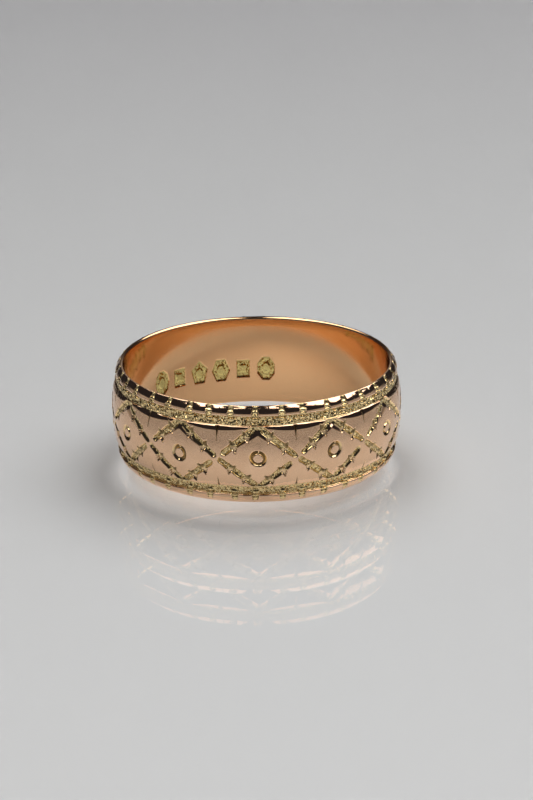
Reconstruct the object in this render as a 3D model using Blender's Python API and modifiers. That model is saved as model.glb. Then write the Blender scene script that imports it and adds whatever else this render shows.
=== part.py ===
"""A wide engraved wedding band in rose gold.

The ring is one solid piece of metal. It stands on its lower edge, with its axis along +Z, the middle
of its lower edge at the origin and its front at -Y. The outside has, from each edge inwards, a flat
land, a polished bead with notches, a sunk channel and then a crowned belly. The belly carries a
lattice of engraved arms that makes a row of diamonds, a ring punch in each diamond, and short nicks
between them. The bore is plain, with a row of small geometric punch marks at the back.
"""
import math

import bmesh
import bpy

MM = 0.001

# The ring's own sizes
BORE_DIAMETER = 17.25 * MM
BAND_WIDTH = 6.3 * MM
BELLY_WALL = 0.825 * MM
CROWN_DROP = 0.535 * MM
CROWN_POWER = 2.1
BORE_EDGE_RADIUS = 0.15 * MM
LAND_WIDTH = 0.06 * MM
BEAD_HEIGHT = 0.6 * MM
BEAD_RISE = 0.05 * MM
BEAD_POWER = 2.2
CHANNEL_HEIGHT = 0.6 * MM
CHANNEL_DEPTH = 0.11 * MM
CHANNEL_WALL_RUN = 0.03 * MM
SHOULDER_RUN = 0.24 * MM
SHOULDER_DROP = 0.05 * MM

# The engraved pattern
MOTIF_PITCH = 4.9 * MM
ARM_DEPTH = 0.075 * MM
ARM_WIDTH = 0.38 * MM
ARM_END_WIDTH = 0.16 * MM
SPUR_REACH = 0.17 * MM
SPUR_LENGTH = 0.24 * MM
SPUR_PLACES = (0.33, 0.67)
APEX_OVERRUN = 0.03 * MM
CROSSING_GAP = 0.12 * MM
RISING_GAP = 0.42 * MM
PUNCH_DIAMETER = 1.08 * MM
PUNCH_GROOVE = 0.25 * MM
PUNCH_DEPTH = 0.09 * MM
NICK_LENGTH = 0.85 * MM
NICK_WIDTH = 0.14 * MM
NICK_DEPTH = 0.06 * MM
NOTCH_PITCH = 1.52 * MM
NOTCH_WIDTH = 0.4 * MM
NOTCH_END_MARGIN = 0.05 * MM
NOTCH_SINK = 0.02 * MM

# The punch marks inside the bore
MARK_DEPTH = 0.06 * MM
MARK_WIDTH = 1.4 * MM
MARK_TALL = 1.25
MARK_PITCH = 1.75 * MM
MARK_LEVEL = -0.6 * MM
MARK_SIDES = (8, 4, 6, 5, 4, 10)
MARK_ROW_CENTRE = math.radians(-158.0)

# How finely the round shapes are divided
STEPS_PER_MOTIF = 6
BEAD_STEPS = 3
CROWN_STEPS = 4
EDGE_STEPS = 2
PUNCH_OUTER_SIDES = 12
PUNCH_INNER_SIDES = 8
CUT_CLEARANCE = 0.15 * MM
SHARP_ANGLE = math.radians(24.0)
MERGE_DISTANCE = 0.000001
OUTLINE_MERGE = 0.001
HALF_THICKNESS = 0.5

BORE_RADIUS = BORE_DIAMETER / 2
BELLY_RADIUS = BORE_RADIUS + BELLY_WALL
RIM_RADIUS = BORE_RADIUS + BORE_EDGE_RADIUS + LAND_WIDTH
HALF_WIDTH = BAND_WIDTH / 2
BEAD_FOOT = HALF_WIDTH - BEAD_HEIGHT
BELLY_HALF = BEAD_FOOT - CHANNEL_HEIGHT
BELLY_GIRTH = 2 * math.pi * BELLY_RADIUS
MOTIF_COUNT = round(BELLY_GIRTH / MOTIF_PITCH)
NOTCH_COUNT = round(BELLY_GIRTH / NOTCH_PITCH)

ROSE_GOLD = (0.80, 0.50, 0.36, 1.0)
POLISHED_ROUGHNESS = 0.22


def crown_radius(height):
    """Radius of the smooth crowned outline, at a height above or below the middle of the band."""
    share = abs(height) / HALF_WIDTH
    return BELLY_RADIUS - CROWN_DROP * share ** CROWN_POWER


def bead_radius(height):
    """Radius of the bead, which stands a little proud of the crowned outline at its foot."""
    foot_radius = crown_radius(BEAD_FOOT) + BEAD_RISE
    share = (abs(height) - BEAD_FOOT) / BEAD_HEIGHT
    return foot_radius - (foot_radius - RIM_RADIUS) * share ** BEAD_POWER


def upper_profile():
    """Points of the upper half of the section, from the top of the bore round to the belly."""
    points = []
    for step in range(EDGE_STEPS + 1):
        angle = math.pi / 2 * step / EDGE_STEPS
        points.append((BORE_RADIUS + BORE_EDGE_RADIUS * (1 - math.cos(angle)),
                       HALF_WIDTH - BORE_EDGE_RADIUS * (1 - math.sin(angle))))
    for step in range(BEAD_STEPS + 1):
        height = HALF_WIDTH - BEAD_HEIGHT * step / BEAD_STEPS
        points.append((bead_radius(height), height))
    floor_top = BEAD_FOOT - CHANNEL_WALL_RUN
    floor_end = BELLY_HALF + CHANNEL_WALL_RUN
    points.append((crown_radius(floor_top) - CHANNEL_DEPTH, floor_top))
    points.append((crown_radius(floor_end) - CHANNEL_DEPTH, floor_end))
    points.append((crown_radius(BELLY_HALF) - SHOULDER_DROP, BELLY_HALF))
    crown_top = BELLY_HALF - SHOULDER_RUN
    for step in range(CROWN_STEPS // 2):
        height = crown_top * (1 - 2 * step / CROWN_STEPS)
        points.append((crown_radius(height), height))
    return points


def full_profile():
    """The closed section: it runs down the outer side and back up the bore."""
    upper = upper_profile()
    lower = [(radius, -height) for radius, height in reversed(upper)]
    return upper + [(crown_radius(0), 0.0)] + lower


def make_collection(name):
    collection = bpy.data.collections.new(name)
    bpy.context.scene.collection.children.link(collection)
    return collection


def make_rose_gold():
    material = bpy.data.materials.new("rose_gold")
    material.use_nodes = True
    shader = material.node_tree.nodes["Principled BSDF"]
    shader.inputs["Base Color"].default_value = ROSE_GOLD
    shader.inputs["Metallic"].default_value = 1.0
    shader.inputs["Roughness"].default_value = POLISHED_ROUGHNESS
    return material


def add_turned_band(collection, axis):
    """The ring blank: its section turned about the axis with a Screw modifier."""
    profile = full_profile()
    mesh = bpy.data.meshes.new("band")
    edges = [(index, (index + 1) % len(profile)) for index in range(len(profile))]
    mesh.from_pydata([(radius, 0.0, height) for radius, height in profile], edges, [])
    band = bpy.data.objects.new("band", mesh)
    collection.objects.link(band)
    band.parent = axis
    screw = band.modifiers.new("turned", 'SCREW')
    screw.axis = 'Z'
    screw.angle = 2 * math.pi
    screw.steps = MOTIF_COUNT * STEPS_PER_MOTIF
    screw.render_steps = screw.steps
    screw.use_merge_vertices = True
    screw.merge_threshold = MERGE_DISTANCE
    mesh.materials.append(make_rose_gold())
    return band


def flat_outlines(name, outlines):
    """A mesh of flat outlines, one unit thick, from a filled 2D curve; an inner loop is a hole."""
    curve = bpy.data.curves.new(name, 'CURVE')
    curve.dimensions = '2D'
    curve.fill_mode = 'BOTH'
    curve.extrude = HALF_THICKNESS
    for outline in outlines:
        spline = curve.splines.new('POLY')
        spline.points.add(len(outline) - 1)
        for point, (across, height) in zip(spline.points, outline):
            point.co = (across / MM, height / MM, 0.0, 1.0)
        spline.use_cyclic_u = True
    holder = bpy.data.objects.new(name, curve)
    bpy.context.scene.collection.objects.link(holder)
    depsgraph = bpy.context.evaluated_depsgraph_get()
    mesh = bpy.data.meshes.new_from_object(holder.evaluated_get(depsgraph))
    bpy.data.objects.remove(holder)
    return mesh


def wrapped_mesh(name, outlines, inner_radius, outer_radius):
    """Flat outlines bent round the ring.

    An outline's points are its distance round the belly from the front, and its height from the
    middle of the band. inner_radius and outer_radius give the radius of the cutter's two faces
    at a height.
    """
    mesh = flat_outlines(name, outlines)
    shape = bmesh.new()
    shape.from_mesh(mesh)
    bmesh.ops.remove_doubles(shape, verts=shape.verts, dist=OUTLINE_MERGE)
    for vertex in shape.verts:
        angle = vertex.co.x * MM / BELLY_RADIUS
        height = vertex.co.y * MM
        radius = outer_radius(height) if vertex.co.z > 0 else inner_radius(height)
        vertex.co = (radius * math.sin(angle), -radius * math.cos(angle), height)
    shape.to_mesh(mesh)
    shape.free()
    return mesh


def add_cutter(name, outlines, inner_radius, outer_radius, axis, collection):
    cutter = bpy.data.objects.new(name, wrapped_mesh(name, outlines, inner_radius, outer_radius))
    collection.objects.link(cutter)
    cutter.parent = axis
    cutter.hide_render = True
    cutter.display_type = 'WIRE'


def add_engraving(name, outlines, depth, axis, collection):
    """A cutter for the outside of the band, to one depth below its crowned outline."""
    add_cutter(name, outlines,
               lambda height: crown_radius(height) - depth,
               lambda height: crown_radius(height) + CUT_CLEARANCE,
               axis, collection)


def arm_outline(start, end):
    """One engraved arm: a bar that narrows to its far end, with two pairs of thorn-like spurs."""
    length = math.dist(start, end)
    along = ((end[0] - start[0]) / length, (end[1] - start[1]) / length)
    aside = (-along[1], along[0])
    edge = []
    for place in SPUR_PLACES:
        middle = place * length
        edge.append((middle - SPUR_LENGTH / 2, ARM_WIDTH / 2))
        edge.append((middle - SPUR_LENGTH / 4, ARM_WIDTH / 2 + SPUR_REACH))
        edge.append((middle + SPUR_LENGTH / 2, ARM_WIDTH / 2))
    left = [(0.0, ARM_END_WIDTH / 2)] + edge
    right = [(distance, -offset) for distance, offset in reversed(left)]
    outline = []
    for distance, offset in left + [(length, 0.0)] + right:
        outline.append((start[0] + along[0] * distance + aside[0] * offset,
                        start[1] + along[1] * distance + aside[1] * offset))
    return outline


def motif_places():
    pitch = BELLY_GIRTH / MOTIF_COUNT
    return [index * pitch for index in range(MOTIF_COUNT)]


def lattice_arms(slope):
    """The arms that fall (slope -1) or rise (slope 1) to the right, two for each motif.

    The falling arms run nearly through the crossings beside each diamond, and the rising arms
    stop short of them.
    """
    half_pitch = BELLY_GIRTH / MOTIF_COUNT / 2
    apex = BELLY_HALF + APEX_OVERRUN
    gap = CROSSING_GAP if slope < 0 else RISING_GAP
    arms = []
    for centre in motif_places():
        for side in (-1, 1):
            apex_height = -slope * side * apex
            crossing_height = -slope * side * gap
            crossing = centre + side * half_pitch * (1 - gap / apex)
            tip = centre + side * ARM_END_WIDTH / 2
            arms.append(arm_outline((tip, apex_height), (crossing, crossing_height)))
    return arms


def circle(centre, height, diameter, sides, turn=0.0, stretch=1.0):
    """A polygon with its corners on a circle, or on an oval when it is stretched upwards."""
    points = []
    for index in range(sides):
        angle = 2 * math.pi * index / sides + turn
        points.append((centre + diameter / 2 * math.cos(angle),
                       height + diameter / 2 * stretch * math.sin(angle)))
    return points


def ring_punches():
    """A ring-shaped groove in the middle of each diamond."""
    rings = []
    for centre in motif_places():
        rings.append(circle(centre, 0.0, PUNCH_DIAMETER, PUNCH_OUTER_SIDES))
        rings.append(circle(centre, 0.0, PUNCH_DIAMETER - 2 * PUNCH_GROOVE, PUNCH_INNER_SIDES))
    return rings


def nicks():
    """Tapered nicks that run from both channels towards each crossing."""
    half_pitch = BELLY_GIRTH / MOTIF_COUNT / 2
    outlines = []
    for centre in motif_places():
        middle = centre + half_pitch
        for side in (-1, 1):
            outlines.append([(middle - NICK_WIDTH / 2, side * (BELLY_HALF + APEX_OVERRUN)),
                             (middle, side * (BELLY_HALF - NICK_LENGTH)),
                             (middle + NICK_WIDTH / 2, side * (BELLY_HALF + APEX_OVERRUN))])
    return outlines


def notch_outlines():
    """One rectangle across each bead for every notch."""
    pitch = BELLY_GIRTH / NOTCH_COUNT
    top = HALF_WIDTH - NOTCH_END_MARGIN
    foot = BEAD_FOOT - NOTCH_END_MARGIN
    outlines = []
    for index in range(NOTCH_COUNT):
        left = index * pitch - NOTCH_WIDTH / 2
        right = left + NOTCH_WIDTH
        for side in (-1, 1):
            outlines.append([(left, side * foot), (right, side * foot),
                             (right, side * top), (left, side * top)])
    return outlines


def notch_floor(height):
    """The floor of a notch runs straight from below the rim to below the foot of the bead."""
    share = (HALF_WIDTH - abs(height)) / BEAD_HEIGHT
    return RIM_RADIUS + (crown_radius(BEAD_FOOT) - RIM_RADIUS) * share - NOTCH_SINK


def add_notches(axis, collection):
    add_cutter("bead_notches", notch_outlines(), notch_floor,
               lambda height: notch_floor(height) + 2 * CUT_CLEARANCE,
               axis, collection)


def bore_mark_outlines():
    """Plain geometric shapes in a row round the back of the bore."""
    row_centre = MARK_ROW_CENTRE * BELLY_RADIUS
    outlines = []
    for index, sides in enumerate(MARK_SIDES):
        offset = (index - (len(MARK_SIDES) - 1) / 2) * MARK_PITCH
        outlines.append(circle(row_centre + offset, MARK_LEVEL, MARK_WIDTH, sides,
                               math.pi / sides, MARK_TALL))
    return outlines


def add_bore_marks(axis, collection):
    add_cutter("bore_marks", bore_mark_outlines(),
               lambda height: BORE_RADIUS - CUT_CLEARANCE,
               lambda height: BORE_RADIUS + MARK_DEPTH,
               axis, collection)


def cut(band, cutters):
    """Take every cutter out of the band in one operation, so that no cut works on a rounded result."""
    modifier = band.modifiers.new("cuts", 'BOOLEAN')
    modifier.operation = 'DIFFERENCE'
    modifier.solver = 'EXACT'
    modifier.operand_type = 'COLLECTION'
    modifier.collection = cutters


def bake_modifiers(band):
    """Turn the cut band into a plain mesh, shaded smooth but for its sharp edges."""
    depsgraph = bpy.context.evaluated_depsgraph_get()
    mesh = bpy.data.meshes.new_from_object(band.evaluated_get(depsgraph))
    mesh.shade_smooth()
    mesh.set_sharp_from_angle(angle=SHARP_ANGLE)
    band.modifiers.clear()
    band.data = mesh


def build():
    for item in list(bpy.data.objects):
        bpy.data.objects.remove(item, do_unlink=True)
    parts = make_collection("wedding_band")
    cutters = make_collection("cutters")
    axis = bpy.data.objects.new("ring_axis", None)
    axis.location = (0.0, 0.0, HALF_WIDTH)
    parts.objects.link(axis)
    band = add_turned_band(parts, axis)
    add_engraving("falling_arms", lattice_arms(-1), ARM_DEPTH, axis, cutters)
    add_engraving("rising_arms", lattice_arms(1), ARM_DEPTH, axis, cutters)
    add_engraving("ring_punches", ring_punches(), PUNCH_DEPTH, axis, cutters)
    add_engraving("nicks", nicks(), NICK_DEPTH, axis, cutters)
    add_notches(axis, cutters)
    add_bore_marks(axis, cutters)
    cut(band, cutters)
    bake_modifiers(band)


build()
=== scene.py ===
import math

import bpy
import numpy as np
from mathutils import Matrix, Vector


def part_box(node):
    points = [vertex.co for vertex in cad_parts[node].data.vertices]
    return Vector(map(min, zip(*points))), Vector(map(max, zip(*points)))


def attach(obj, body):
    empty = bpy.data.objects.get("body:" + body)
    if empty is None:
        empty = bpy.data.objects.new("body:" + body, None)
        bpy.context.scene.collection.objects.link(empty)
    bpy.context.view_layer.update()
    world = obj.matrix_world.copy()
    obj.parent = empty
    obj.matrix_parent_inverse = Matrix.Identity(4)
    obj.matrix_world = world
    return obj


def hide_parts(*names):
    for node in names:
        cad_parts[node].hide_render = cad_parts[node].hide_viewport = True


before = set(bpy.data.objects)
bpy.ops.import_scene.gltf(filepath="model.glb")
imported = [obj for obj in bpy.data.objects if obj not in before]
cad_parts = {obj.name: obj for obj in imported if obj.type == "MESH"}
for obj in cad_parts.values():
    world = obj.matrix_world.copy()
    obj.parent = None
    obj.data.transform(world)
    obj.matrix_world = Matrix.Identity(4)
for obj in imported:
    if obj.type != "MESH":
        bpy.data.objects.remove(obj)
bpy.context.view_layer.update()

MM = 0.001
rng = np.random.default_rng(1907)

# ---------------------------------------------------------------------------------------------
# Sizes in metres. The outer sizes come from the frame. The section and the pattern follow the CAD
# part's, with a narrower land, a rounder bore edge and deeper channels.

LOW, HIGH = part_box("band")
BELLY_RADIUS = (HIGH[0] - LOW[0]) / 2
HALF_WIDTH = (HIGH[2] - LOW[2]) / 2
MID_HEIGHT = (HIGH[2] + LOW[2]) / 2
BELLY_WALL = 0.825 * MM
CROWN_DROP = 0.535 * MM
CROWN_POWER = 2.1
BORE_EDGE_RADIUS = 0.18 * MM
LAND_WIDTH = 0.03 * MM
BEAD_HEIGHT = 0.6 * MM
BEAD_RISE = 0.05 * MM
BEAD_POWER = 2.2
BEAD_ROLL = 0.09 * MM
BEAD_ROLL_REACH = BEAD_ROLL * 0.8
BEAD_ROLL_TURNS = (30, 60, 90)
CHANNEL_HEIGHT = 0.6 * MM
CHANNEL_DEPTH = 0.15 * MM
CHANNEL_WALL_RUN = 0.035 * MM
CHANNEL_WALL_SHARES = (0.33, 0.67)
FOOT_WALL_RUN = CHANNEL_WALL_RUN * 0.25
MOTIF_COUNT = 12
NOTCH_COUNT = 39

BORE_RADIUS = BELLY_RADIUS - BELLY_WALL
RIM_RADIUS = BORE_RADIUS + BORE_EDGE_RADIUS + LAND_WIDTH
BEAD_FOOT = HALF_WIDTH - BEAD_HEIGHT
BELLY_HALF = BEAD_FOOT - CHANNEL_HEIGHT
GIRTH = 2 * math.pi * BELLY_RADIUS
MOTIF_PITCH = GIRTH / MOTIF_COUNT
NOTCH_PITCH = GIRTH / NOTCH_COUNT

# The punch marks inside the bore
MARK_SIDES = (8, 4, 6, 5, 4, 10)
MARK_WIDTH = 1.5 * MM
MARK_TALL = 1.25
MARK_LEVEL = -0.6 * MM
MARK_PITCH = 1.75 * MM
MARK_ROW_CENTRE = math.radians(-158.0)
MARK_DEPTH = 0.06 * MM
MARK_WALL = 0.08 * MM
MARK_CORE = 0.5
MARK_CORE_RISE = 0.75
MARK_MATTE = 0.35
MARK_CORE_POLISH = 0.7

# How finely the ring's surface is divided. The bore is divided finely where the marks are.
COLUMNS = 1800
EDGE_STEPS = 6
BEAD_LENGTH = BEAD_HEIGHT * 1.1
FINE_STEP = 0.033 * MM
MARK_STEP = 0.06 * MM
BORE_STEP = 0.5 * MM
MARKED_HALF = MARK_WIDTH * MARK_TALL * 0.55


# ---------------------------------------------------------------------------------------------
# Small helpers

def ramp(value, low, high):
    """Smooth step from 0 at low to 1 at high."""
    share = np.clip((value - low) / (high - low), 0.0, 1.0)
    return share * share * (3 - 2 * share)


def between(first, second, share):
    return first + (second - first) * share


def jitter(reach, count=None):
    """One random number, or count of them, between -reach and reach."""
    return rng.uniform(-reach, reach, count)


def wavy(across, waves, seed):
    """A gentle closed wave round the ring, between about -1 and 1, made of a few random sines."""
    own = np.random.default_rng(seed)
    total = np.zeros_like(across)
    for count in waves:
        strength = own.uniform(0.5, 1.0)
        phase = own.uniform(0, 2 * math.pi)
        total += strength * np.sin(2 * math.pi * count * across / GIRTH + phase)
    return total / len(waves)


def steps_over(length, step):
    return max(2, int(round(length / step)))


def raise_to(layer, place, value):
    """Raise a layer of the strip to a value, where it is lower."""
    layer[place] = np.maximum(layer[place], value)


# ---------------------------------------------------------------------------------------------
# The section of the ring

def crown_radius(height):
    return BELLY_RADIUS - CROWN_DROP * (np.abs(height) / HALF_WIDTH) ** CROWN_POWER


def bead_point(share):
    """The bead's outer side, from the rim at share 0 to the start of its foot's roll at share 1."""
    foot_radius = crown_radius(BEAD_FOOT) + BEAD_RISE
    up = 1 - share * (1 - BEAD_ROLL / BEAD_HEIGHT)
    return foot_radius - (foot_radius - RIM_RADIUS) * up ** BEAD_POWER, BEAD_FOOT + BEAD_HEIGHT * up


def upper_section():
    """Rows (radius, height, zone) from the top of the bore, over the edge, to just above the middle."""
    rows = []
    for step in range(EDGE_STEPS + 1):
        angle = math.pi / 2 * step / EDGE_STEPS
        rows.append((BORE_RADIUS + BORE_EDGE_RADIUS * (1 - math.cos(angle)),
                     HALF_WIDTH - BORE_EDGE_RADIUS * (1 - math.sin(angle)), "edge"))
    rows.append((BORE_RADIUS + BORE_EDGE_RADIUS + LAND_WIDTH / 2, HALF_WIDTH, "land"))
    count = steps_over(BEAD_LENGTH, FINE_STEP)
    for step in range(count + 1):
        rows.append((*bead_point(step / count), "bead"))
    roll_radius, roll_height = bead_point(1.0)
    for turn in BEAD_ROLL_TURNS:
        angle = math.radians(turn)
        rows.append((roll_radius - BEAD_ROLL_REACH * (1 - math.cos(angle)),
                     roll_height - BEAD_ROLL * math.sin(angle), "bead"))
    floor_top = BEAD_FOOT - FOOT_WALL_RUN
    floor_end = BELLY_HALF + CHANNEL_WALL_RUN
    count = steps_over(floor_top - floor_end, FINE_STEP)
    for step in range(count + 1):
        height = floor_top + (floor_end - floor_top) * step / count
        rows.append((crown_radius(height) - CHANNEL_DEPTH, height, "channel"))
    for share in CHANNEL_WALL_SHARES:
        height = floor_end - CHANNEL_WALL_RUN * share
        rows.append((crown_radius(height) - CHANNEL_DEPTH * (1 - share), height, "wall"))
    count = steps_over(BELLY_HALF, FINE_STEP)
    for step in range(count):
        height = BELLY_HALF * (1 - step / count)
        rows.append((crown_radius(height), height, "belly"))
    return rows


def bore_heights():
    """Levels up the bore from the lower edge, close together where the punch marks are."""
    end = HALF_WIDTH - BORE_EDGE_RADIUS
    low = MARK_LEVEL - MARKED_HALF
    high = MARK_LEVEL + MARKED_HALF
    below = np.linspace(-end, low, steps_over(low + end, BORE_STEP) + 1)[1:-1]
    marked = np.linspace(low, high, steps_over(high - low, MARK_STEP) + 1)
    above = np.linspace(high, end, steps_over(end - high, BORE_STEP) + 1)[1:-1]
    return np.concatenate([below, marked, above])


def ring_rows():
    """All rows of the section, once round: over the outside from the bore's top, and up the bore."""
    upper = upper_section()
    lower = [(radius, -height, zone) for radius, height, zone in reversed(upper)]
    middle = [(crown_radius(0.0), 0.0, "belly")]
    bore = [(BORE_RADIUS, height, "bore") for height in bore_heights()]
    return upper + middle + lower + bore


# ---------------------------------------------------------------------------------------------
# The engraving. Everything is drawn on a strip: across is the distance round the belly from the
# front, to the right, and level is the height above the middle of the band. Depth is into the
# metal. A SPREAD is the range of a random factor, and a JITTER or SHIFT the reach of a random shift.

# Grains, as a matting punch leaves them. Their shifts and sizes are shares of the pitch.
GRAIN_PITCH = 0.115 * MM
GRAIN_RISE = 0.045 * MM
GRAIN_MEAN = 0.4
GRAIN_BANDS = 80
GRAIN_SHIFT = 0.32
GRAIN_SIZES = (0.55, 0.8)
GRAIN_HEIGHTS = (0.55, 1.0)
GRAIN_SEED = 3

# The lattice's corners, and how far an arm stays short of its crossing
APEX_JITTER = 0.09 * MM
APEX_INSET = 0.03 * MM
CROSSING_JITTER = 0.08 * MM
CROSSING_LEVELS = (-0.12 * MM, 0.02 * MM)
FALLING_GAPS = (0.06 * MM, 0.12 * MM)
RISING_GAPS = (0.34 * MM, 0.48 * MM)
ROOT_OFFSET = 0.08 * MM

# Arms. What runs along an arm is in shares of its length.
ARM_DEPTH = 0.14 * MM
ARM_HALF = 0.225 * MM
ARM_SPREAD = (0.93, 1.07)
ARM_TIP_HALF = 0.08 * MM
ARM_TIP = (0.93, 1.02)
ARM_ROOT = (0.0, 0.14)
ARM_ROOT_WIDTH = 0.8
ARM_TAPER = (0.6, 0.9)
ARM_TAPER_LOSS = 0.15
ARM_OVERRUN = 0.05 * MM
ARM_MARGIN = 0.4 * MM
ARM_RIPPLE = 0.012 * MM
ARM_RIPPLE_RATE = 9 / MM
ARM_RIPPLE_PHASE = 6
ARM_WALL = 0.06 * MM
ARM_WALL_SPREAD = (1.0, 1.8)
ARM_WIDE_WALL = 0.14 * MM
ARM_WIDE_WALL_SPREAD = (1.0, 1.2)
ARM_WIDE_WALL_CHANCE = 0.85
ARM_MATTE = (0.8, 1.2)
ARM_CUT = (-0.01 * MM, 0.02 * MM)

# Thorns and gouges beside the arms
SPUR_PLACES = (0.3, 0.66)
SPUR_SHIFT = 0.03
SPUR_LEAN = 0.22
SPUR_MARGIN = 0.5 * MM
THORN_REACH = 0.24 * MM
THORN_REACH_SPREAD = (0.85, 1.1)
THORN_HALF = 0.21 * MM
THORN_HALF_SPREAD = (0.9, 1.2)
THORN_SLOPE = 1.3
THORN_DEPTH = 0.11 * MM
THORN_CUT = (0.0, 0.02 * MM)
THORN_HOLLOW = (0.01 * MM, 0.05 * MM)
THORN_SHADE = 0.6
FACET_LENGTH = 0.36 * MM
FACET_HALF = 0.20 * MM
FACET_SPREAD = (0.8, 1.1)
FACET_SLOPES = {1: 1.05, -1: 1.6}
FACET_ROOT = ARM_HALF * 0.62
FACET_END = 1.15
FACET_CUT = 0.4

# Burnished slopes, beside the arms and along the belly's borders
BEVEL_SLOPE = 1.15 * math.tan(math.radians(15.5))
BEVEL_WIDTHS = (0.16 * MM, 0.32 * MM)
BEVEL_MARGIN = 0.6 * MM
BEVEL_START = (-0.12, 0.0)
BEVEL_FADE = (0.0, 0.8)
SWAG_WIDTH = 0.32 * MM
SWAG_APEX_WIDTH = 0.03 * MM
SWAG_SPREAD = (0.75, 0.98)
SWAG_POWER = 0.9
SWAG_WAVES = (11, 17, 26)
SWAG_WAVE_SIZE = 0.12
SWAG_SEED = 5
SWAG_SOFTNESS = 0.012 * MM
LOWER_SWAG_DEPTH = 0.6

# The ring punch in the middle of each diamond
PUNCH_JITTER = 0.08 * MM
PUNCH_LEVELS = (-0.16 * MM, 0.02 * MM)
PUNCH_MARGIN = 0.8 * MM
PUNCH_OVAL = 0.05
PUNCH_OUTER = 0.54 * MM
PUNCH_INNER = 0.28 * MM
PUNCH_OUTER_WALL = 0.14 * MM
PUNCH_INNER_WALL = 0.07 * MM
PUNCH_DEPTH = 0.15 * MM
PUNCH_CUT = 0.8
PUNCH_CUT_RANGE = (0.02, 0.3)
PUNCH_SHADE = 0.6
PUNCH_SHADE_RANGE = (0.8, 1.0)
NIB_PLACE = 0.04 * MM
NIB_HALF = 0.05 * MM
NIB_WALL = 0.03 * MM
NIB_RISE = 0.7

# Nicks between the diamonds, by border: 1 is the upper one and -1 the lower one
NICK_LENGTHS = {1: 0.9 * MM, -1: 0.68 * MM}
NICK_HALVES = {1: 0.14 * MM, -1: 0.09 * MM}
NICK_DEPTH = 0.14 * MM
NICK_SPREAD = (0.88, 1.1)
NICK_JITTER = 0.12 * MM
NICK_LEAN = 0.05
NICK_MARGIN = 0.3 * MM
NICK_TIP_WIDTH = 0.15
NICK_POWER = 1.3
NICK_START = (0.0, 0.2)
NICK_SLOPE = 1.2
NICK_CUT = 0.6
NICK_CUT_RANGE = (0.1, 0.6)
NICK_SHADE = 0.8
NICK_SHADE_RANGE = (0.2, 0.8)

# Channels
CHANNEL_MATTE = (0.0, 0.07 * MM)
CHANNEL_WALL_CUT = 0.15

# Notches across the beads, and the pillows left between them. The balls' levels and half widths
# are in millimetres, and the levels are measured from the rim.
NOTCH_DEPTH = 0.11 * MM
NOTCH_HALF = 0.22 * MM
NOTCH_SPREAD = (0.9, 1.1)
NOTCH_JITTER = 0.17 * MM
NOTCH_LEAN = 0.12
NOTCH_PIVOT = 0.3 * MM
NOTCH_RIM_WIDTH = 0.8
NOTCH_WIDENING = 0.3
NOTCH_OVERRUN = 0.02 * MM
NOTCH_MARGIN = 0.4 * MM
NOTCH_WALL = (0.0, 0.05 * MM)
NOTCH_CUT = (0.0, 0.03 * MM)
NOTCH_RIM_DEPTH = 0.45
NOTCH_RIM_RUN = (0.0, 0.12 * MM)
NOTCH_SHADE = 0.7
LOWER_NOTCH_START = (0.16 * MM, 0.26 * MM)
BALL_LEVELS = (0.09, 0.31, 0.55, 0.80)
BALL_HALVES = (0.16, 0.20, 0.25, 0.23)
BALL_HALF_SPREAD = (0.9, 1.1)
BALL_SHIFT = 0.015
BALL_TALL = 0.13 * MM
BALL_RISE = 0.125 * MM
BALL_RISE_SPREAD = (0.85, 1.0)
BALL_EDGE = (0.0, 0.2)
BALL_CREASE = (0.05, 0.5)
LOWER_BALLS_FROM = 0.3
PILLOW_DROP = 0.06 * MM
PILLOW_POWER = 2.4
PILLOW_JITTER = 0.008 * MM
PILLOW_FOOT = (BEAD_FOOT - 0.02 * MM, BEAD_FOOT + 0.03 * MM)
PILLOW_RIM = (0.0, 0.10 * MM)

# The unevenness of hand work, and the painted shade in the hollows
WAVE_COUNT = 9
WAVE_TURNS = (8, 40)
WAVE_TILT = 2.2
WAVE_PHASE = 6.3
WAVE_HEIGHT = 0.0008 * MM
WANDER_WAVES = (9, 14, 23, 37, 61)
WANDER_SEEDS = ((BEAD_FOOT, 21), (BELLY_HALF, 31))
WANDER_REACH = 0.16 * MM
WANDER_SIZE = 0.035 * MM
HOLLOW_PASSES = 4
HOLLOW_DEPTH = 0.02 * MM
HOLLOW_SHADE = 0.3
HOLLOW_LEAST_CUT = 0.3


class Strip:
    """The surface as a grid of rows (round the section) by columns (round the ring).

    Its layers are the depth in metres, and from 0 to 1 how far the metal is freshly cut, darkened
    with painted shade, matted, and the bore's, whose colour carries painted light.
    """

    def __init__(self, rows):
        self.radius = np.array([row[0] for row in rows])
        self.level = np.array([row[1] for row in rows])
        self.zone = np.array([row[2] for row in rows])
        self.angle = (np.arange(COLUMNS) - COLUMNS // 2) * 2 * math.pi / COLUMNS
        self.across = self.angle * BELLY_RADIUS
        shape = (len(rows), COLUMNS)
        self.depth = np.zeros(shape)
        self.cut = np.zeros(shape)
        self.painted_shade = np.zeros(shape)
        self.matte = np.zeros(shape)
        self.bore = np.zeros(shape)
        self.bore[self.rows_of("bore", "edge")] = 1.0

    def rows_of(self, *zones, low=-math.inf, high=math.inf):
        inside = np.isin(self.zone, zones) & (self.level >= low) & (self.level <= high)
        return np.nonzero(inside)[0]

    def near(self, centre, reach):
        """Columns within reach of a place round the ring, and their offsets from it."""
        offset = (self.across - centre + GIRTH / 2) % GIRTH - GIRTH / 2
        columns = np.nonzero(np.abs(offset) < reach)[0]
        return columns, offset[columns]

    def patch(self, centre, reach, level, rise, *zones):
        """The part of the grid round a point: its index, and offsets across and up from it."""
        rows = self.rows_of(*zones, low=level - rise, high=level + rise)
        columns, offset = self.near(centre, reach)
        return np.ix_(rows, columns), offset[None, :], (self.level[rows] - level)[:, None]


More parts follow.
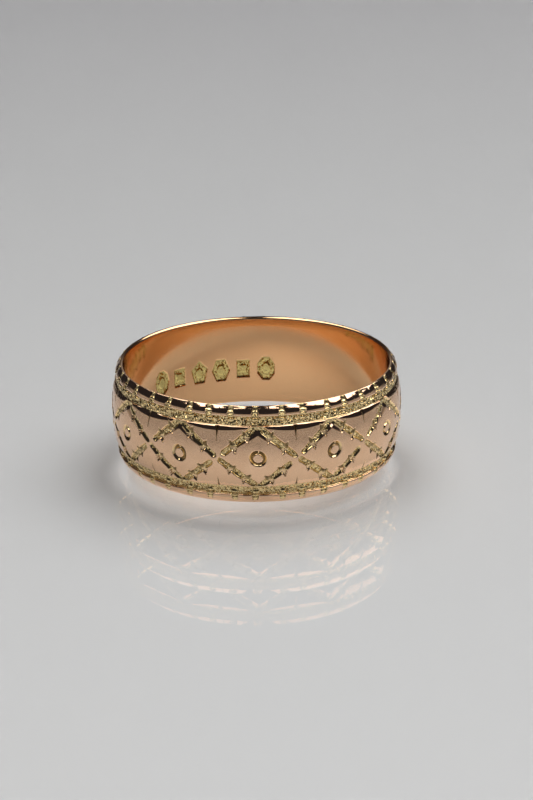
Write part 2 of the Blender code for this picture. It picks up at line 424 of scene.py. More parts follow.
def grain_field(across, level):
    """Rounded grains, 0 between them and up to 1 on top of each."""
    own = np.random.default_rng(GRAIN_SEED)
    cells = int(round(GIRTH / GRAIN_PITCH))
    step = GIRTH / cells
    shape = (cells, GRAIN_BANDS)
    shift_x = own.uniform(-GRAIN_SHIFT, GRAIN_SHIFT, shape)
    shift_y = own.uniform(-GRAIN_SHIFT, GRAIN_SHIFT, shape)
    size = own.uniform(*GRAIN_SIZES, shape)
    rise = own.uniform(*GRAIN_HEIGHTS, shape)
    u = (across / step)[None, :]
    v = (level / step)[:, None] + GRAIN_BANDS / 2
    u, v = np.broadcast_arrays(u, v)
    cell_u = np.floor(u).astype(int)
    cell_v = np.floor(v).astype(int)
    best = np.zeros(u.shape)
    for du in (-1, 0, 1):
        for dv in (-1, 0, 1):
            at = ((cell_u + du) % cells, (cell_v + dv) % GRAIN_BANDS)
            dx = u - (cell_u + du + 0.5 + shift_x[at])
            dy = v - (cell_v + dv + 0.5 + shift_y[at])
            dome = rise[at] * np.sqrt(np.clip(1 - (dx * dx + dy * dy) / size[at] ** 2, 0, 1))
            best = np.maximum(best, dome)
    return best


class Arm:
    """An arm of the lattice, from start at a border (edge 1 above, -1 below) to end at a crossing."""

    def __init__(self, start, end, edge, falling):
        self.edge = edge
        self.falling = falling
        self.length = math.dist(start, end)
        self.along = ((end[0] - start[0]) / self.length, (end[1] - start[1]) / self.length)
        sign = 1 if self.along[0] > 0 else -1
        self.lower = (sign * self.along[1], -sign * self.along[0])
        self.middle = ((start[0] + end[0]) / 2, (start[1] + end[1]) / 2)

    def patch(self, strip, margin):
        """The grid round the arm: its index, and offsets across and up from the arm's middle."""
        reach = self.length / 2 + margin
        return strip.patch(self.middle[0], reach, self.middle[1], reach, "belly")

    def run(self, dx, dy):
        """Distances along the arm from its start, and from its centre line to its lower side."""
        s = dx * self.along[0] + dy * self.along[1] + self.length / 2
        t = dx * self.lower[0] + dy * self.lower[1]
        return s, t


def lower_wall(arm):
    """Width of an arm's lower wall. Most falling arms above the middle have a wide, shining one."""
    if arm.edge > 0 and arm.falling and rng.uniform() < ARM_WIDE_WALL_CHANCE:
        return ARM_WIDE_WALL * rng.uniform(*ARM_WIDE_WALL_SPREAD)
    return ARM_WALL * rng.uniform(*ARM_WALL_SPREAD)


def carve_arm(strip, relief, arm):
    """A matted bar that narrows to a tip."""
    wall_below = lower_wall(arm)
    place, dx, dy = arm.patch(strip, ARM_MARGIN)
    s, t = arm.run(dx, dy)
    share = np.clip(s / arm.length, 0, 1)
    half = ARM_HALF * rng.uniform(*ARM_SPREAD) * between(ARM_ROOT_WIDTH, 1, ramp(share, *ARM_ROOT))
    half = half * (1 - ARM_TAPER_LOSS * ramp(share, *ARM_TAPER))
    half = between(half, ARM_TIP_HALF, ramp(share, *ARM_TIP))
    half = half + ARM_RIPPLE * np.sin(s * ARM_RIPPLE_RATE + rng.uniform(0, ARM_RIPPLE_PHASE))
    inside = np.minimum(half - np.abs(t), np.minimum(s + ARM_OVERRUN, arm.length - s))
    wall = np.where(t > 0, wall_below, ARM_WALL)
    matte = ramp(inside / wall, *ARM_MATTE)
    depth = np.clip(inside / wall, 0, 1) * ARM_DEPTH - matte * relief[place]
    raise_to(strip.depth, place, depth)
    raise_to(strip.cut, place, ramp(inside, *ARM_CUT))
    raise_to(strip.matte, place, matte)


def carve_thorn(strip, place, s, t, centre):
    """A pointed cut that stands out from the arm's upper side."""
    reach = (ARM_HALF + THORN_REACH) * rng.uniform(*THORN_REACH_SPREAD)
    out = -t
    width = THORN_HALF * np.clip(1 - out / reach, 0, 1) * rng.uniform(*THORN_HALF_SPREAD)
    thorn = np.clip(width - np.abs(s - centre + SPUR_LEAN * out), 0, None) * (out > 0)
    raise_to(strip.depth, place, np.minimum(thorn * THORN_SLOPE, THORN_DEPTH))
    raise_to(strip.cut, place, ramp(thorn, *THORN_CUT))
    # Painted shade in the thorn's groove.
    raise_to(strip.painted_shade, place, ramp(thorn, *THORN_HOLLOW) * THORN_SHADE)


def carve_facet(strip, arm, place, dx, dy, centre):
    """A gouge on the arm's lower side: a triangle, point down, whose flat floor faces up."""
    size = rng.uniform(*FACET_SPREAD)
    tip = FACET_LENGTH * size
    shift = centre - arm.length / 2 + SPUR_LEAN * FACET_ROOT
    x = arm.along[0] * shift + arm.lower[0] * FACET_ROOT
    y = arm.along[1] * shift + arm.lower[1] * FACET_ROOT
    slant = arm.lower[0] / 2
    rise = dy - y + tip
    side = np.abs(dx - x + slant * (dy - y))
    inside = (side < FACET_HALF * size * rise / tip) & (rise > 0) & (rise < tip * FACET_END)
    depth = np.minimum(rise * FACET_SLOPES[arm.edge], ARM_DEPTH)
    raise_to(strip.depth, place, np.where(inside, depth, -math.inf))
    strip.cut[place] = np.where(inside, FACET_CUT, strip.cut[place])
    # No painted shade on the facet's floor.
    strip.painted_shade[place] = np.where(inside, 0, strip.painted_shade[place])
    strip.matte[place] = np.where(inside, 0, strip.matte[place])


def carve_spurs(strip, arm):
    """Thorns on the arm's upper side, and a gouge across from each on its lower side."""
    place, dx, dy = arm.patch(strip, SPUR_MARGIN)
    s, t = arm.run(dx, dy)
    for spot in SPUR_PLACES:
        centre = (spot + jitter(SPUR_SHIFT)) * arm.length
        carve_thorn(strip, place, s, t, centre)
        carve_facet(strip, arm, place, dx, dy, centre)


def bevel_beside(strip, arm, width):
    """A burnished slope along the lower side of an arm, widest at the border."""
    place, dx, dy = arm.patch(strip, BEVEL_MARGIN)
    s, t = arm.run(dx, dy)
    share = s / arm.length
    reach_out = width * (1 - ramp(share, *BEVEL_FADE)) * ramp(share, *BEVEL_START)
    drop = np.clip(ARM_HALF + reach_out - t, 0, reach_out) * (t > -ARM_HALF)
    strip.depth[place] += drop * BEVEL_SLOPE


def lattice_arms():
    """Two crossing sets of arms. Falling arms run nearly through the crossings, rising ones stop."""
    apexes = {}
    crossings = []
    for index in range(MOTIF_COUNT):
        for edge in (-1, 1):
            apexes[index, edge] = (index * MOTIF_PITCH + jitter(APEX_JITTER),
                                   edge * (BELLY_HALF - APEX_INSET))
        crossings.append(((index + 0.5) * MOTIF_PITCH + jitter(CROSSING_JITTER),
                          rng.uniform(*CROSSING_LEVELS)))
    arms = []
    for index in range(MOTIF_COUNT):
        for side in (-1, 1):
            crossing = crossings[index if side > 0 else index - 1]
            turn = GIRTH if index == 0 and side < 0 else 0.0
            far = (crossing[0] - turn, crossing[1])
            for edge in (-1, 1):
                apex = apexes[index, edge]
                falling = side * edge > 0
                gap = rng.uniform(*(FALLING_GAPS if falling else RISING_GAPS))
                keep = 1 - gap / math.dist(apex, far)
                start = (apex[0] + side * ROOT_OFFSET, apex[1])
                end = (between(apex[0], far[0], keep), between(apex[1], far[1], keep))
                arms.append(Arm(start, end, edge, falling))
    return arms


def carve_lattice(strip, relief):
    arms = lattice_arms()
    for arm in arms:
        if arm.edge > 0:
            bevel_beside(strip, arm, rng.uniform(*BEVEL_WIDTHS))
    for arm in arms:
        carve_arm(strip, relief, arm)
    for arm in arms:
        carve_spurs(strip, arm)


def carve_punches(strip):
    """Slightly oval rings, each with a nib left standing in its upper half."""
    for index in range(MOTIF_COUNT):
        centre = index * MOTIF_PITCH + jitter(PUNCH_JITTER)
        level = rng.uniform(*PUNCH_LEVELS)
        place, dx, dy = strip.patch(centre, PUNCH_MARGIN, level, PUNCH_MARGIN, "belly")
        turn = rng.uniform(0, math.pi)
        oval = 1 + PUNCH_OVAL * np.cos(2 * (np.arctan2(dy, dx) - turn))
        reach = np.hypot(dx, dy) * oval
        groove = np.minimum((PUNCH_OUTER - reach) / PUNCH_OUTER_WALL,
                            (reach - PUNCH_INNER) / PUNCH_INNER_WALL)
        nib = ramp(NIB_HALF - np.abs(dx - NIB_PLACE), 0.0, NIB_WALL) * (dy > 0)
        groove = np.clip(groove, 0, 1) * (1 - NIB_RISE * nib)
        raise_to(strip.depth, place, groove * PUNCH_DEPTH)
        raise_to(strip.cut, place, ramp(groove, *PUNCH_CUT_RANGE) * PUNCH_CUT)
        # Painted shade in the deepest part of the groove.
        raise_to(strip.painted_shade, place, ramp(groove, *PUNCH_SHADE_RANGE) * PUNCH_SHADE)


def carve_nicks(strip):
    """Short grooves that widen towards the border, between the diamonds."""
    for index in range(MOTIF_COUNT):
        for edge in (-1, 1):
            centre = (index + 0.5) * MOTIF_PITCH + jitter(NICK_JITTER)
            length = NICK_LENGTHS[edge] * rng.uniform(*NICK_SPREAD)
            lean = jitter(NICK_LEAN)
            place, dx, dy = strip.patch(centre, NICK_MARGIN, edge * (BELLY_HALF - length / 2),
                                        length / 2, "belly")
            run = (dy * edge + length / 2) / length
            width = NICK_HALVES[edge] * between(NICK_TIP_WIDTH, 1, np.clip(run, 0, 1) ** NICK_POWER)
            groove = np.clip(1 - np.abs(dx - lean * dy) / width, 0, 1)
            deepest = np.minimum(ramp(run, *NICK_START) * NICK_DEPTH, width * NICK_SLOPE)
            strip.depth[place] += groove * deepest
            raise_to(strip.cut, place, ramp(groove, *NICK_CUT_RANGE) * NICK_CUT)
            # Painted shade inside the groove.
            raise_to(strip.painted_shade, place, ramp(groove, *NICK_SHADE_RANGE) * NICK_SHADE)


def bevel_borders(strip):
    """Burnished slopes along both borders of the belly, in swags between the diamonds' points."""
    share = strip.across / MOTIF_PITCH
    swag = np.abs(np.sin(math.pi * share)) ** SWAG_POWER
    own = rng.uniform(*SWAG_SPREAD, MOTIF_COUNT)[np.floor(share).astype(int) % MOTIF_COUNT]
    width = between(SWAG_APEX_WIDTH, SWAG_WIDTH, swag * own)
    width = width * (1 + SWAG_WAVE_SIZE * wavy(strip.across, SWAG_WAVES, SWAG_SEED))
    rows = strip.rows_of("belly", "wall")
    level = strip.level[rows]
    inset = (BELLY_HALF - np.abs(level))[:, None]
    drop = np.clip(width[None, :] - np.clip(inset, 0, None), 0, None)
    soft = drop * drop / (drop + SWAG_SOFTNESS)
    fade = np.clip(1 + inset / CHANNEL_WALL_RUN, 0, 1)
    strength = np.where(level > 0, 1.0, LOWER_SWAG_DEPTH)[:, None]
    strip.depth[rows] += soft * BEVEL_SLOPE * fade * strength


def matte_channels(strip, relief):
    """Grains all over the channels' floors, and freshly cut metal there."""
    rows = strip.rows_of("channel")
    level = np.abs(strip.level[rows])
    inside = np.minimum(BEAD_FOOT - level, level - BELLY_HALF - CHANNEL_WALL_RUN)
    floor = ramp(inside, *CHANNEL_MATTE)[:, None]
    strip.depth[rows] -= floor * relief[rows]
    raise_to(strip.matte, rows, floor)
    strip.cut[rows] = 1.0
    strip.cut[strip.rows_of("wall")] = CHANNEL_WALL_CUT


def sink_pillows(strip, rows, spots):
    """Sink the bead towards each notch, so that a pillow is left between two notches."""
    level = np.abs(strip.level[rows])[:, None]
    offset = (strip.across[None, :] - spots[:, None] + GIRTH / 2) % GIRTH - GIRTH / 2
    nearest = np.abs(offset).argmin(0)
    gap = np.abs(offset).min(0)
    on_bead = ramp(level, *PILLOW_FOOT) * ramp(HALF_WIDTH - level, *PILLOW_RIM)
    pillow = np.clip(1 - gap / (NOTCH_PITCH / 2), 0, 1) ** PILLOW_POWER
    own_rise = jitter(PILLOW_JITTER, NOTCH_COUNT)
    strip.depth[rows] += on_bead * (pillow * PILLOW_DROP + own_rise[nearest])[None, :]


def ball_column(dx, down, edge):
    """A column of little balls: 0 beside them and up to 1 on top of each."""
    balls = np.zeros_like(dx)
    for level, half in zip(BALL_LEVELS, BALL_HALVES):
        if edge < 0 and level < LOWER_BALLS_FROM:
            continue
        u = dx / (half * MM * rng.uniform(*BALL_HALF_SPREAD))
        v = (down - (level + jitter(BALL_SHIFT)) * MM) / BALL_TALL
        balls = np.maximum(balls, np.sqrt(np.clip(1 - u * u - v * v, 0, 1)))
    return balls


def carve_notch(strip, rows, edge, spot):
    """A recess across a bead, with a column of balls in it. A lower one stops short of the rim."""
    down = HALF_WIDTH - np.abs(strip.level[rows])[:, None]
    columns, dx = strip.near(spot, NOTCH_MARGIN)
    place = np.ix_(rows, columns)
    dx = dx[None, :] - jitter(NOTCH_LEAN) * (down - NOTCH_PIVOT)
    half = NOTCH_HALF * (NOTCH_RIM_WIDTH + NOTCH_WIDENING * down / BEAD_HEIGHT)
    half = half * rng.uniform(*NOTCH_SPREAD)
    inside = np.minimum(half - np.abs(dx), BEAD_HEIGHT - down + NOTCH_OVERRUN)
    inner = ramp(down, *LOWER_NOTCH_START) if edge < 0 else 1.0
    pit = ramp(inside, *NOTCH_WALL) * inner
    strip.depth[place] += pit * between(NOTCH_RIM_DEPTH, 1, ramp(down, *NOTCH_RIM_RUN)) * NOTCH_DEPTH
    balls = ball_column(dx, down, edge)
    on_ball = ramp(balls, *BALL_EDGE)
    strip.depth[place] -= balls * BALL_RISE * rng.uniform(*BALL_RISE_SPREAD)
    strip.matte[place] *= 1 - on_ball
    raise_to(strip.cut, place, np.maximum(on_ball, ramp(inside, *NOTCH_CUT) * inner))
    # Painted shade in the pit and in the creases between the balls.
    raise_to(strip.painted_shade, place, pit * (1 - ramp(balls, *BALL_CREASE)) * NOTCH_SHADE)


def carve_notches(strip):
    for edge in (-1, 1):
        spots = np.arange(NOTCH_COUNT) * NOTCH_PITCH + jitter(NOTCH_JITTER, NOTCH_COUNT)
        low, high = sorted((edge * HALF_WIDTH, edge * BELLY_HALF))
        rows = strip.rows_of("land", "bead", "channel", low=low, high=high)
        sink_pillows(strip, rows, spots)
        for spot in spots:
            carve_notch(strip, rows, edge, spot)


def polygon_inset(dx, dy, sides, radius):
    """Distance inside a regular polygon with a flat side down, negative outside it."""
    inset = np.full(np.broadcast(dx, dy).shape, np.inf)
    reach = radius * math.cos(math.pi / sides)
    for side in range(sides):
        angle = 2 * math.pi * side / sides - math.pi / 2
        inset = np.minimum(inset, reach - dx * math.cos(angle) - dy * math.sin(angle))
    return inset


def strike_marks(strip):
    """Plain geometric punch marks in a row round the back of the bore: a sunk outline, raised core."""
    for index, sides in enumerate(MARK_SIDES):
        centre = MARK_ROW_CENTRE * BELLY_RADIUS + (index - (len(MARK_SIDES) - 1) / 2) * MARK_PITCH
        radius = MARK_WIDTH / 2
        reach = MARK_WIDTH * MARK_TALL
        place, dx, dy = strip.patch(centre, reach, MARK_LEVEL, reach, "bore")
        sunk = ramp(polygon_inset(dx, dy / MARK_TALL, sides, radius), 0.0, MARK_WALL)
        core = ramp(polygon_inset(dx, dy / MARK_TALL, sides, radius * MARK_CORE), 0.0, MARK_WALL)
        raise_to(strip.depth, place, (sunk - MARK_CORE_RISE * core) * MARK_DEPTH)
        raise_to(strip.cut, place, sunk)
        raise_to(strip.matte, place, (sunk - MARK_CORE_POLISH * core) * MARK_MATTE)


def hand_wave(strip):
    """The slight unevenness of a hand-finished belly."""
    rows = strip.rows_of("belly")
    across, level = strip.across[None, :], strip.level[rows][:, None]
    wave = np.zeros((len(rows), COLUMNS))
    for _ in range(WAVE_COUNT):
        turns = rng.integers(*WAVE_TURNS)
        tilt = jitter(WAVE_TILT) / MM
        phase = rng.uniform(0, WAVE_PHASE)
        wave += np.sin(2 * math.pi * turns * across / GIRTH + tilt * level + phase)
    strip.depth[rows] += wave * WAVE_HEIGHT


def paint_hollow_shade(strip):
    """Painted shade darkens cut places that lie lower than what is round them."""
    mean = strip.depth.copy()
    for _ in range(HOLLOW_PASSES):
        mean = (mean + np.roll(mean, 1, 1) + np.roll(mean, -1, 1)) / 3
        mean[1:-1] = (mean[1:-1] + mean[:-2] + mean[2:]) / 3
    hollow = np.clip((strip.depth - mean) / HOLLOW_DEPTH, 0, 1) * (strip.cut > HOLLOW_LEAST_CUT)
    strip.painted_shade[:] = np.clip(strip.painted_shade + hollow * HOLLOW_SHADE, 0, 1)


def edge_wander(strip):
    """Both borders of each channel wander a little, up and down, as a hand-guided cut does."""
    moved = np.zeros_like(strip.depth)
    for edge in (-1, 1):
        for border, seed in WANDER_SEEDS:
            near = np.exp(-((strip.level - edge * border) / WANDER_REACH) ** 2)
            near = near * np.isin(strip.zone, ("bead", "channel", "wall", "belly"))
            line = wavy(strip.across, WANDER_WAVES, seed + edge)
            moved += near[:, None] * line[None, :] * WANDER_SIZE
    return moved


def engraved_strip():
    strip = Strip(ring_rows())
    relief = GRAIN_RISE * (grain_field(strip.across, strip.level) - GRAIN_MEAN)
    hand_wave(strip)
    bevel_borders(strip)
    matte_channels(strip, relief)
    carve_lattice(strip, relief)
    carve_punches(strip)
    carve_nicks(strip)
    carve_notches(strip)
    strike_marks(strip)
    paint_hollow_shade(strip)
    return strip


# ---------------------------------------------------------------------------------------------
# The mesh

def outward(strip):
    """Each row's direction (radial, up) out of the metal: the crown's normal, or inward in the bore."""
    slope = CROWN_DROP * CROWN_POWER / HALF_WIDTH
    slope = slope * (np.abs(strip.level) / HALF_WIDTH) ** (CROWN_POWER - 1) * np.sign(strip.level)
    size = np.hypot(1, slope)
    radial, up = 1 / size, slope / size
    bore = strip.zone == "bore"
    radial[bore], up[bore] = -1.0, 0.0
    return radial, up


def ring_mesh(strip):
    """One closed mesh of quads from the strip, joined round the ring and round its section."""
    radial, up = outward(strip)
    radius = strip.radius[:, None] - strip.depth * radial[:, None]
    height = strip.level[:, None] - strip.depth * up[:, None] + edge_wander(strip)
    angle = strip.angle[None, :]
    points = np.stack([radius * np.sin(angle), -radius * np.cos(angle), height + MID_HEIGHT], -1)
    rows, columns = strip.depth.shape
    index = np.arange(rows * columns).reshape(rows, columns)
    below, right = np.roll(index, -1, 0), np.roll(index, -1, 1)
    faces = np.stack([index, below, np.roll(below, -1, 1), right], -1).reshape(-1, 4)
    mesh = bpy.data.meshes.new("engraved_band")
    mesh.vertices.add(rows * columns)
    mesh.vertices.foreach_set("co", points.reshape(-1).astype(np.float32))
    mesh.loops.add(faces.size)
    mesh.loops.foreach_set("vertex_index", faces.reshape(-1).astype(np.int32))
    mesh.polygons.add(len(faces))
    mesh.polygons.foreach_set("loop_start", np.arange(0, faces.size, 4, dtype=np.int32))
    mesh.update(calc_edges=True)
    mesh.validate()
    mesh.shade_smooth()
    for name in ("cut", "painted_shade", "matte", "bore"):
        layer = mesh.attributes.new(name, 'FLOAT', 'POINT')
        layer.data.foreach_set("value", getattr(strip, name).reshape(-1).astype(np.float32))
    return mesh


# ---------------------------------------------------------------------------------------------
# Materials. Noise and cell scales are in features per millimetre.

SKIN = (0.91, 0.60, 0.385, 1)
SKIN_DARKER = (0.87, 0.56, 0.35, 1)
# Painted light: the skin in the bore is brighter and more orange than outside, for the light bounced
# round inside the ring.
SKIN_IN_BORE_PAINTED_LIGHT = (0.96, 0.585, 0.305, 1)
FRESH = (0.95, 0.74, 0.38, 1)
FRESH_DARKER = (0.92, 0.68, 0.33, 1)
FRESH_IN_BORE = (0.80, 0.67, 0.26, 1)
# Painted shade: the dark colour laid into hollows, grooves and creases.
HOLLOW_SHADE_COLOUR = (0.10, 0.055, 0.025, 1)
PATCH_RANGE = (0.35, 0.65)
SMEAR_RANGE = (0.3, 0.7)
POLISH = (0.07, 0.13)
MATTE_ROUGHNESS = 0.05
HOLLOW_SHADE_ROUGHNESS = 0.25
RUB_HEIGHT = 0.0006 * MM
SCRATCH_HEIGHT = 0.0006 * MM
PIT_HEIGHT = 0.0007 * MM
CELL_SCALE = 11.0
CELL_TILT = 1.1
BOARD_COLOUR = (0.70, 0.70, 0.695, 1)
BOARD_ROUGHNESS = 0.8
SHEET_IOR = 1.45
SHEET_ROUGHNESS = 0.02

# The colour sockets of a Mix node, whose names repeat for each kind of value
MIX_FIRST, MIX_SECOND, MIX_RESULT = 6, 7, 2


class Tree:
    """A short way to write a node tree."""

    def __init__(self, tree):
        self.tree = tree

    def add(self, kind, **settings):
        node = self.tree.nodes.new(kind)
        for key, value in settings.items():
            setattr(node, key, value)
        return node

    def link(self, source, target):
        self.tree.links.new(source, target)

    def feed(self, socket, value):
        if isinstance(value, bpy.types.NodeSocket):
            self.link(value, socket)
        else:
            socket.default_value = value

    def math(self, operation, first, second=0.0, clamp=False):
        node = self.add("ShaderNodeMath", operation=operation, use_clamp=clamp)
        self.feed(node.inputs[0], first)
        self.feed(node.inputs[1], second)
        return node.outputs[0]

    def vector(self, operation, first, second=None):
        node = self.add("ShaderNodeVectorMath", operation=operation)
        self.feed(node.inputs[0], first)
        if second is not None:
            self.feed(node.inputs["Scale" if operation == 'SCALE' else 1], second)
        return node.outputs[0]

    def attribute(self, name):
        return self.add("ShaderNodeAttribute", attribute_name=name).outputs["Fac"]

    def millimetres(self, stretch=(1.0, 1.0, 1.0), turn=(0.0, 0.0, 0.0)):
        """Object coordinates in millimetres, stretched for a grain that runs one way."""
        where = self.add("ShaderNodeTexCoord")
        mapping = self.add("ShaderNodeMapping")
        mapping.inputs["Scale"].default_value = [1 / MM * share for share in stretch]
        mapping.inputs["Rotation"].default_value = turn
        self.link(where.outputs["Object"], mapping.inputs["Vector"])
        return mapping.outputs[0]

    def noise(self, scale, detail, rough, where=None):
        node = self.add("ShaderNodeTexNoise")
        node.inputs["Scale"].default_value = scale
        node.inputs["Detail"].default_value = detail
        node.inputs["Roughness"].default_value = rough
        self.link(where if where is not None else self.millimetres(), node.inputs["Vector"])
        return node.outputs["Fac"]

    def mix(self, share, first, second):
        node = self.add("ShaderNodeMix", data_type='RGBA')
        self.feed(node.inputs["Factor"], share)
        self.feed(node.inputs[MIX_FIRST], first)
        self.feed(node.inputs[MIX_SECOND], second)
        return node.outputs[MIX_RESULT]

    def range(self, value, low, high, new_low=0.0, new_high=1.0):
        node = self.add("ShaderNodeMapRange")
        node.inputs["From Min"].default_value = low
        node.inputs["From Max"].default_value = high
        node.inputs["To Min"].default_value = new_low
        node.inputs["To Max"].default_value = new_high
        self.link(value, node.inputs["Value"])
        return node.outputs[0]

    def bump(self, height, distance, before=None):
        node = self.add("ShaderNodeBump")
        node.inputs["Distance"].default_value = distance
        self.link(height, node.inputs["Height"])
        if before is not None:
            self.link(before, node.inputs["Normal"])
        return node.outputs[0]


class Material(Tree):
    """A material with a Principled shader, whose tree is written with the same short words."""

    def __init__(self, name):
        self.material = bpy.data.materials.new(name)
        self.material.use_nodes = True
        super().__init__(self.material.node_tree)
        self.tree.nodes.clear()
        self.output = self.add("ShaderNodeOutputMaterial")
        self.shader = self.add("ShaderNodeBsdfPrincipled")
        self.link(self.shader.outputs[0], self.output.inputs["Surface"])


def rose_gold():
    """Worn rose gold: redder polished skin, yellower fresh cuts, painted shade in the hollows, and
    painted light in the bore, where the skin is brighter and more orange.
    """
    n = Material("rose_gold_worn")
    cut, painted_shade = n.attribute("cut"), n.attribute("painted_shade")
    matte, bore = n.attribute("matte"), n.attribute("bore")
    cloud = n.range(n.noise(scale=0.9, detail=4.0, rough=0.6), *PATCH_RANGE)
    # The bore's skin colour is painted light: brighter and more orange.
    skin = n.mix(bore, n.mix(cloud, SKIN, SKIN_DARKER), SKIN_IN_BORE_PAINTED_LIGHT)
    fleck = n.range(n.noise(scale=9.0, detail=2.0, rough=0.5), *PATCH_RANGE)
    fresh = n.mix(bore, n.mix(fleck, FRESH, FRESH_DARKER), FRESH_IN_BORE)
    # Painted shade darkens the hollows.
    colour = n.mix(painted_shade, n.mix(cut, skin, fresh), HOLLOW_SHADE_COLOUR)
    n.link(colour, n.shader.inputs["Base Color"])
    n.shader.inputs["Metallic"].default_value = 1.0
    smear = n.range(n.noise(scale=2.2, detail=5.0, rough=0.65), *SMEAR_RANGE, *POLISH)
    rough = n.math('ADD', smear, n.math('MULTIPLY', matte, MATTE_ROUGHNESS))
    rough = n.math('ADD', rough, n.math('MULTIPLY', painted_shade, HOLLOW_SHADE_ROUGHNESS), clamp=True)
    n.link(rough, n.shader.inputs["Roughness"])
    n.link(hammered(n, matte, fine_wear(n)), n.shader.inputs["Normal"])
    return n.material


def fine_wear(n):
    """The normal of a surface with level rub marks, finer scratches across them, and pits."""
    rubbed = n.millimetres(stretch=(1.0, 1.0, 18.0))
    scratched = n.millimetres(stretch=(3.0, 30.0, 9.0), turn=(0.5, 0.3, 0.8))
    normal = n.bump(n.noise(scale=1.0, detail=4.0, rough=0.6, where=rubbed), RUB_HEIGHT)
    normal = n.bump(n.noise(scale=1.0, detail=5.0, rough=0.7, where=scratched), SCRATCH_HEIGHT, normal)
    return n.bump(n.noise(scale=22.0, detail=3.0, rough=0.6), PIT_HEIGHT, normal)


def hammered(n, matte, normal):
    """The normal, tilted another way in each small cell, as far as the surface is matted."""
    cells = n.add("ShaderNodeTexVoronoi", feature='F1')
    cells.inputs["Scale"].default_value = CELL_SCALE
    n.link(n.millimetres(), cells.inputs["Vector"])
    tilt = n.vector('SUBTRACT', cells.outputs["Color"], (0.5, 0.5, 0.5))
    lean = n.vector('SCALE', tilt, n.math('MULTIPLY', matte, CELL_TILT))
    return n.vector('NORMALIZE', n.vector('ADD', normal, lean))


def pale_board():
    """A pale, plain, matt board."""
    n = Material("pale_board")
    n.shader.inputs["Base Color"].default_value = BOARD_COLOUR
    n.shader.inputs["Roughness"].default_value = BOARD_ROUGHNESS
    n.shader.inputs["Specular IOR Level"].default_value = 0.0
    return n.material


def clear_sheet():
    """A polished face of the clear sheet: it mirrors, more at a flat angle, and lets the rest by."""
    n = Material("clear_sheet")
    n.tree.nodes.remove(n.shader)
    clear = n.add("ShaderNodeBsdfTransparent")
    mirror = n.add("ShaderNodeBsdfGlossy")
    mirror.inputs["Roughness"].default_value = SHEET_ROUGHNESS
    facing = n.add("ShaderNodeNewGeometry").outputs["Backfacing"]
    fresnel = n.add("ShaderNodeFresnel")
    n.link(n.range(facing, 0.0, 1.0, SHEET_IOR, 1 / SHEET_IOR), fresnel.inputs["IOR"])
    mixed = n.add("ShaderNodeMixShader")
    n.link(fresnel.outputs[0], mixed.inputs[0])
    n.link(clear.outputs[0], mixed.inputs[1])
    n.link(mirror.outputs[0], mixed.inputs[2])
    n.link(mixed.outputs[0], n.output.inputs["Surface"])
    return n.material


# ---------------------------------------------------------------------------------------------
# The scene

SHEET_DEPTH = 1.1 * MM
BOARD_DEPTH = 1.2 * MM
FLOOR_SIZE = 3.0

# Each light's lowest and highest X and Y, in metres
SOFTBOXES = {
    "softbox_left": ((-0.26, -0.20), (-0.04, 0.42)),
    "softbox_right": ((0.05, -0.20), (0.54, 0.42)),
}
SOFTBOX_HEIGHT = 0.4
SOFTBOX_GLOW = 2.8

# The surroundings. Each range is in the part X, Y or Z of the direction that is looked in, from
# where the glow starts to where it is full.
STUDIO_COLOUR = (0.02, 0.02, 0.024, 1)
HORIZON_COLOUR = (0.42, 0.42, 0.42, 1)
HORIZON_HEIGHT = (0.20, 0.09)
HORIZON_FRONT = (0.6, 0.2)
WALL_COLOUR = (0.56, 0.55, 0.565, 1)
WALL_SIDE = (0.45, 0.2)
WALL_HEIGHT = (0.5, 0.0)

# The camera, fitted to the ring's outline. Distances are from the ring's middle.
CAMERA_ELEVATION = math.radians(20.67)
CAMERA_DISTANCE = 12.005 * BELLY_RADIUS
CAMERA_ROLL = math.radians(-0.57)
AIM = (0.0685 * BELLY_RADIUS, 0.0, 0.0231 * BELLY_RADIUS)
VIEW_HEIGHT_ANGLE = math.radians(26.03)
SENSOR_HEIGHT = 36.0
CLIP_START = 0.001
CLIP_END = 10.0


def add_ring():
    mesh = ring_mesh(engraved_strip())
    ring = bpy.data.objects.new("engraved_band", mesh)
    bpy.context.scene.collection.objects.link(ring)
    mesh.materials.append(rose_gold())
    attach(ring, "root")
    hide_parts("band")


def add_floor():
    """A pale board under a thin clear sheet, which mirrors at both faces. The ring stands on it."""
    sheet = clear_sheet()
    for name, depth, material in (("sheet_top", 0.0, sheet), ("sheet_underside", SHEET_DEPTH, sheet),
                                  ("board", BOARD_DEPTH, pale_board())):
        bpy.ops.mesh.primitive_plane_add(size=FLOOR_SIZE, location=(0, 0, -depth))
        floor = bpy.context.active_object
        floor.name = name
        floor.data.materials.append(material)


def add_softbox(name, low, high):
    """A rectangular light that faces down, from corner low to corner high. All glow equally."""
    light = bpy.data.lights.new(name, 'AREA')
    light.shape = 'RECTANGLE'
    light.size = high[0] - low[0]
    light.size_y = high[1] - low[1]
    light.energy = SOFTBOX_GLOW * math.pi * light.size * light.size_y
    holder = bpy.data.objects.new(name, light)
    holder.location = ((low[0] + high[0]) / 2, (low[1] + high[1]) / 2, SOFTBOX_HEIGHT)
    bpy.context.scene.collection.objects.link(holder)


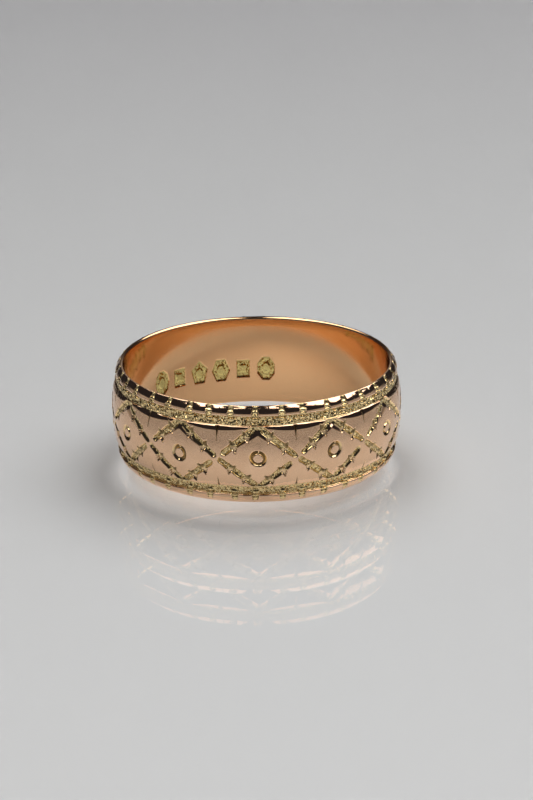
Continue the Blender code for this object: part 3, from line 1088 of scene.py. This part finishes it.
def add_lights():
    for name, (low, high) in SOFTBOXES.items():
        add_softbox(name, low, high)


def add_world():
    """A dark studio, lighter at the horizon except far behind, where a pale wall stands low down."""
    world = bpy.data.worlds.new("studio")
    bpy.context.scene.world = world
    world.use_nodes = True
    n = Tree(world.node_tree)
    background = world.node_tree.nodes["Background"]
    direction = n.add("ShaderNodeTexCoord").outputs["Generated"]
    parts = n.add("ShaderNodeSeparateXYZ")
    n.link(direction, parts.inputs[0])
    side, back, up = parts.outputs
    wide = n.range(n.math('ABSOLUTE', side), *WALL_SIDE)
    far = n.math('MULTIPLY', wide, n.math('GREATER_THAN', back, 0.0))
    low = n.range(up, *WALL_HEIGHT)
    wall = n.math('MULTIPLY', far, n.math('MULTIPLY', low, low))
    horizon = n.math('MULTIPLY', n.range(up, *HORIZON_HEIGHT), n.range(back, *HORIZON_FRONT))
    colour = n.mix(horizon, STUDIO_COLOUR, HORIZON_COLOUR)
    n.link(n.mix(wall, colour, WALL_COLOUR), background.inputs["Color"])


def add_camera():
    middle = Vector((0, 0, MID_HEIGHT))
    eye = middle + CAMERA_DISTANCE * Vector((0, -math.cos(CAMERA_ELEVATION),
                                             math.sin(CAMERA_ELEVATION)))
    forward = (middle + Vector(AIM) - eye).normalized()
    side = forward.cross(Vector((0, 0, 1))).normalized()
    top = side.cross(forward)
    right = math.cos(CAMERA_ROLL) * side + math.sin(CAMERA_ROLL) * top
    above = right.cross(forward)
    data = bpy.data.cameras.new("camera")
    data.sensor_fit = 'VERTICAL'
    data.sensor_height = SENSOR_HEIGHT
    data.lens = SENSOR_HEIGHT / 2 / math.tan(VIEW_HEIGHT_ANGLE / 2)
    data.clip_start = CLIP_START
    data.clip_end = CLIP_END
    camera = bpy.data.objects.new("camera", data)
    turn = Matrix((right, above, -forward)).transposed()
    camera.matrix_world = Matrix.Translation(eye) @ turn.to_4x4()
    bpy.context.scene.collection.objects.link(camera)
    bpy.context.scene.camera = camera


bpy.context.scene.view_settings.view_transform = 'Standard'
add_ring()
add_floor()
add_lights()
add_world()
add_camera()
